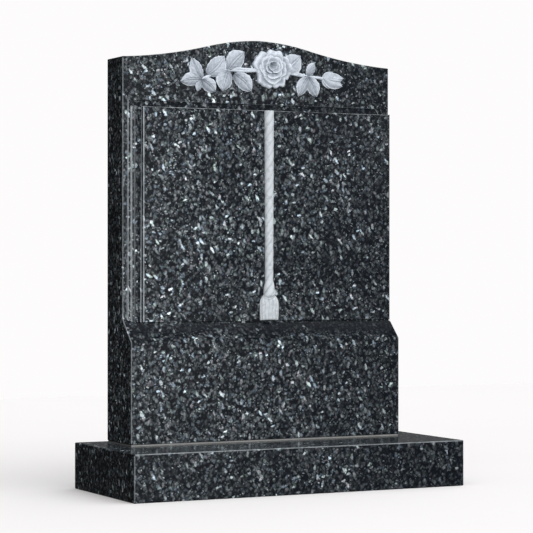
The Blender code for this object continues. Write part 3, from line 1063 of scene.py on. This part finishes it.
def makePetal(ring, petal):
    petals, radiusShare, rimShare, first, cup, spreadShare, shift = roseRings[ring]
    radius = spray["roseRadius"] * radiusShare
    rimHeight = spray["roseHeight"] * rimShare
    spread = math.pi / petals * spreadShare
    turn = ((petal * 3 + ring * 2) % 5 - 2) / 2
    fullness = 1 + 0.08 * turn
    frill = 0.045 if ring < 2 else 0.035

    def pointAt(along, across):
        # Cupped petal with a rim that rolls outwards; outer petals are a little frilled
        notch = 0.05 * bell(across, 0.1 * turn, 0.15) if ring < 2 else 0
        wave = math.sin(across * 7 + petal * 2.1 + ring) + 0.24 * math.sin(across * 12 + petal)
        wave *= frill
        lip = radius * fullness * (1 - 0.24 * abs(across) ** 2.2 - notch + wave)
        angle = spread * across * (1 + 0.05 * turn)
        reach = 0.05 + 0.95 * along
        bowl = 1 - cup * (1 - along) ** 1.2
        roll = 1 - 0.55 * max(0.0, (along - 0.88) / 0.12) ** 2
        slant = 1 + (0.22 if petal % 2 else -0.18) * across
        z = rimHeight * bowl * roll * slant * (1 - 0.10 * across ** 2) * (1 + wave * along)
        pleat = math.sin(across * 13 + petal) * along * (1 - along)
        z += 0.06 * rimHeight * pleat
        # Painted light: rolled lips, pleats and inner rings paler as painted highlight, the petal's
        # base and sides darker as painted shade
        rolled = min(1, max(0.0, (along - 0.72) / 0.16))
        rolled *= 1 - 0.5 * max(0.0, (along - 0.94) / 0.06)
        paintedLight = 0.02 + 0.08 * ring + 0.34 * along ** 2 + 0.62 * rolled
        paintedLight += 0.34 * pleat - 0.25 * abs(across) ** 6
        away = lip * reach
        return away * math.cos(angle), away * math.sin(angle), z, min(max(paintedLight, 0), 1)

    degrees = first + 360 * petal / petals
    place = [part * spray["roseRadius"] for part in shift]
    return carvedSheet("petal", spray["petalGrid"], pointAt, onTablet(rosePlace, degrees, place))


# Bud: direction, length, half width and height as shares, start
budPetals = (
    (30, 0.60, 0.14, 0.60, 0.00),
    (-48, 0.58, 0.15, 0.58, 0.00),
    (2, 0.98, 0.24, 0.80, 0.04),
    (-18, 0.94, 0.28, 1.00, 0.06),
    (-6, 0.74, 0.13, 1.14, 0.16),
)


def makeBudPetal(degrees, share, half, high, start):
    length = spray["budLength"]
    height = spray["budHeight"] * high

    def pointAt(along, across):
        edge = min(max(along, 0.01), 0.985)
        outline = math.sin(math.pi * edge ** 0.85) ** 0.85
        away = abs(across)
        rim = max(0.0, away - 0.75) / 0.25
        z = height * (1 - 0.50 * away ** 2 + 0.20 * rim) * (0.62 + 0.38 * math.sin(math.pi * along))
        # painted highlight along the midline and the rims
        paintedLight = 0.40 + 0.30 * bell(away, 0, 0.3) + 0.60 * rim
        return length * (start + share * along), length * half * outline * across, z, min(paintedLight, 1)

    return carvedSheet("bud", spray["budGrid"], pointAt, onTablet(budPlace, degrees))


sprayParts = [makeLeaf(*leaf) for leaf in leafList]
sprayParts += [makeStem(route) for route in stemList]
for ring, settings in enumerate(roseRings):
    sprayParts += [makePetal(ring, petal) for petal in range(settings[0])]
sprayParts += [makeBudPetal(*petal) for petal in budPetals]
roses = joinPieces("carved_rose_spray", sprayParts)
roses.data.materials.clear()
roses.data.materials.append(carvedSpray)
smooth(roses, spray["smoothDegrees"])
print("rose spray: faces", len(roses.data.polygons))


# Hang each piece from the root body and hide the CAD part that it stands for

for piece, node, slotName in ((headstone, "headstone", "polished_granite"),
                              (rope, "headstone", "carved_granite"),
                              (roses, "headstone", "carved_granite"),
                              (base, "base", "polished_granite"),
                              (joint, "mortar_bed", "mortar")):
    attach(piece, "root")
    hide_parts(node)


# Floor, light and camera

studio = {
    "floorSize": 6.0,
    "floorTones": ((0.910, 0.893, 0.895), (0.885, 0.870, 0.872)),
    "backdrop": (0.985, 0.970, 0.972),
    "skyStrength": 1.58,
    "skyFront": (0.55, -0.84, 0.0),          # where the soft sky is brighter
    "skyLean": 1.2,
    "roomStrength": 0.05,                    # the dim room that the polish mirrors
    "glowPlace": (0.25, -0.97, 0.0),         # a pale wall in front, which mists the polish a little
    "glowStrength": 3.5,
    "glowFocus": 60,
    "keyPlace": (-0.55, -3.9, 1.9),
    "keyTarget": (0, 0, 0.4),
    "keySize": (1.4, 1.4),
    "keyPower": 188,
}


def makeFloor():
    deselectAll()
    bpy.ops.mesh.primitive_plane_add(size=studio["floorSize"], location=(0, 0, 0))
    floor = bpy.context.object
    floor.name = "studio_floor"
    surface = Surface("paleFloor")
    tone = surface.noise(1.5, 3, 0.5)
    color = surface.blend(tone, *studio["floorTones"])
    floor.data.materials.append(surface.finish(color=color, roughness=0.85, specular=0.1))
    floor.visible_glossy = False             # the stone mirrors and gathers the room's light only
    floor.visible_diffuse = False
    return floor


def makeKeyLight(unlit):
    # Soft key light on the stone; the floor is left to the sky, so that it keeps one even tone
    lamp = bpy.data.lights.new("keySoftbox", "AREA")
    lamp.shape = "RECTANGLE"
    lamp.size, lamp.size_y = studio["keySize"]
    lamp.energy = studio["keyPower"]
    box = bpy.data.objects.new("keySoftbox", lamp)
    bpy.context.scene.collection.objects.link(box)
    box.location = studio["keyPlace"]
    aim = Vector(studio["keyTarget"]) - Vector(studio["keyPlace"])
    box.rotation_euler = aim.to_track_quat("-Z", "Y").to_euler()
    receivers = bpy.data.collections.new("keySoftbox_receivers")
    receivers.objects.link(unlit)
    receivers.collection_objects[0].light_linking.link_state = "EXCLUDE"
    box.light_linking.receiver_collection = receivers


def makeWorld():
    # A pale backdrop. What lights the stone comes from overhead and the front, dark at the horizon
    world = bpy.data.worlds.new("studio")
    world.use_nodes = True
    world.node_tree.nodes.clear()
    room = Nodes(world.node_tree)
    direction = room.node("ShaderNodeTexCoord").outputs["Generated"]
    parts = room.node("ShaderNodeSeparateXYZ", None, {0: direction})

    def facing(target):
        made = room.node("ShaderNodeVectorMath", {"operation": "DOT_PRODUCT"}, {
            0: direction, 1: Vector(target).normalized()})
        return room.number(made.outputs["Value"])

    height = room.number(parts.outputs["Z"]).highest(0)
    lean = (facing(studio["skyFront"]) * studio["skyLean"] + 1).highest(0)
    sky = height * lean * studio["skyStrength"]
    glow = facing(studio["glowPlace"]).highest(0) ** studio["glowFocus"] * studio["glowStrength"]
    light = room.node("ShaderNodeBackground", None, {
        "Color": (1, 1, 1, 1), "Strength": sky + glow + studio["roomStrength"]})
    seen = room.node("ShaderNodeBackground", None, {"Color": (*studio["backdrop"], 1)})
    path = room.node("ShaderNodeLightPath")
    mix = room.node("ShaderNodeMixShader", None, {
        0: path.outputs["Is Camera Ray"], 1: light.outputs[0], 2: seen.outputs[0]})
    room.node("ShaderNodeOutputWorld", None, {0: mix.outputs[0]})
    bpy.context.scene.world = world


def makeCamera():
    view = {
        "place": (-2.0254, -4.004, 0.4761),
        "turn": 26.724,
        "lens": 143.18,
        "shift": -0.0082,
    }
    lens = bpy.data.cameras.new("camera")
    lens.lens = view["lens"]
    lens.sensor_width = 36
    lens.shift_y = view["shift"]
    lens.clip_end = 100
    camera = bpy.data.objects.new("camera", lens)
    bpy.context.scene.collection.objects.link(camera)
    camera.location = view["place"]
    camera.rotation_euler = (math.radians(90), 0, math.radians(-view["turn"]))
    bpy.context.scene.camera = camera


floor = makeFloor()
makeWorld()
makeCamera()
makeKeyLight(floor)
bpy.context.scene.view_settings.view_transform = "Standard"
print("stage ready")
